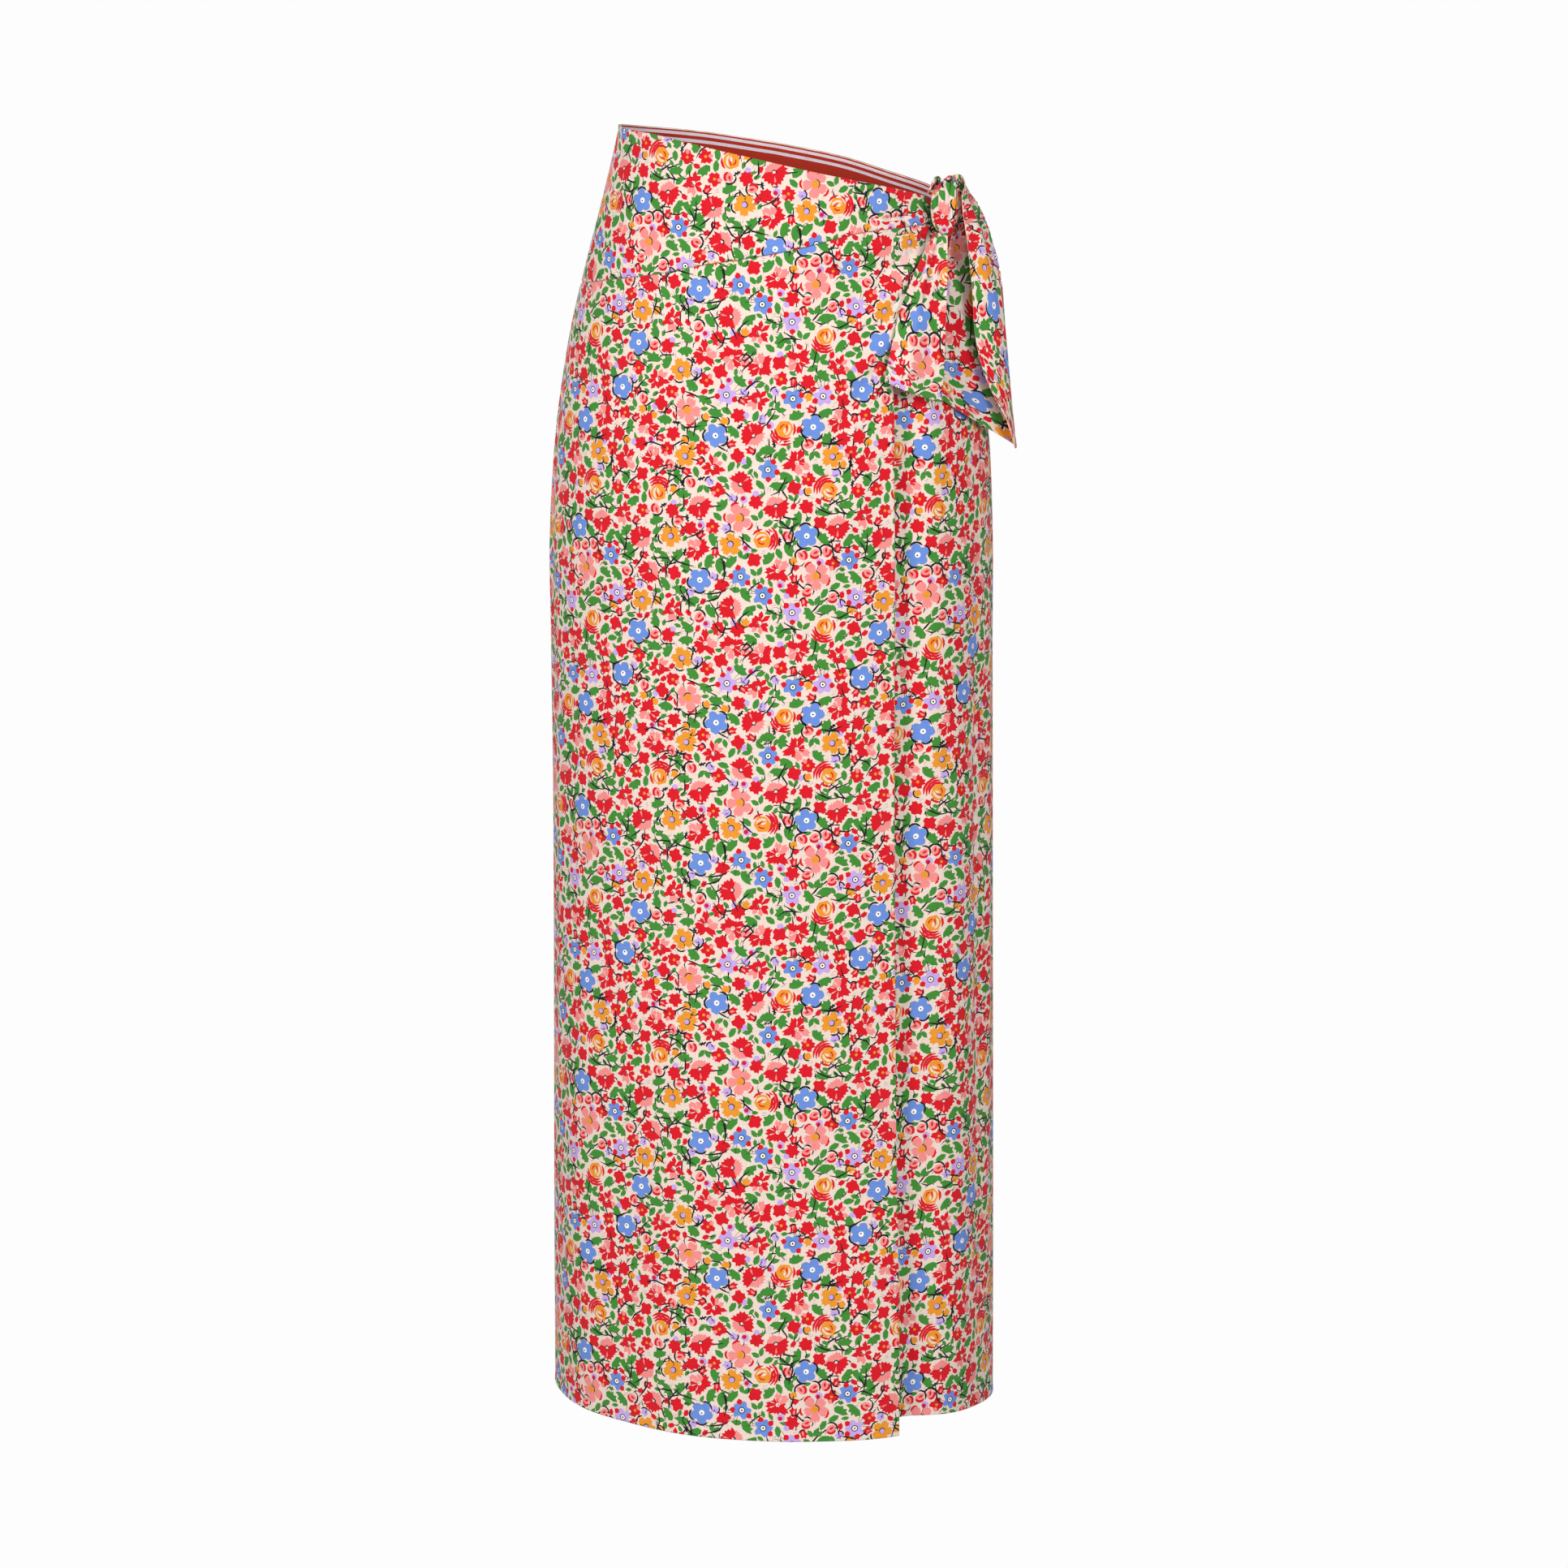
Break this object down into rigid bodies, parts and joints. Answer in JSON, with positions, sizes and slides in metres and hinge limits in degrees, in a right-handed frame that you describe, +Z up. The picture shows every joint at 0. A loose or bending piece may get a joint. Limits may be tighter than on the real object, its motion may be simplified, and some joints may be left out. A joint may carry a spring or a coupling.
{
  "type": "long wrap skirt, worn form, tied at the hip",
  "caption": "Long straight wrap skirt in floral printed cotton, with a slanted waist, a shaped yoke and ties knotted at the right hip.",
  "frame": {"origin": "centre of the waist opening, where the wearer's waist holds the skirt", "axes": "+Z up the skirt, -Y out of the front, +X towards the knot, which is at the right of the front view"},
  "size_m": [0.3668, 0.2601, 1.022],
  "materials": {
    "floral_cotton": "matt plain weave, cream ground with a small floral print",
    "striped_facing": "matt plain weave, rust red and pale lilac grey stripes"
  },
  "bodies": {
    "root": {"over_front": "floral_cotton", "over_yoke": "floral_cotton", "under_front": "floral_cotton", "back": "floral_cotton", "back_yoke": "floral_cotton", "back_facing": "striped_facing", "side_tie": "floral_cotton", "tie_knot": "floral_cotton", "knot_ear": "floral_cotton", "over_tie_tail": "floral_cotton", "side_tie_tail": "floral_cotton"}
  },
  "joints": []
}
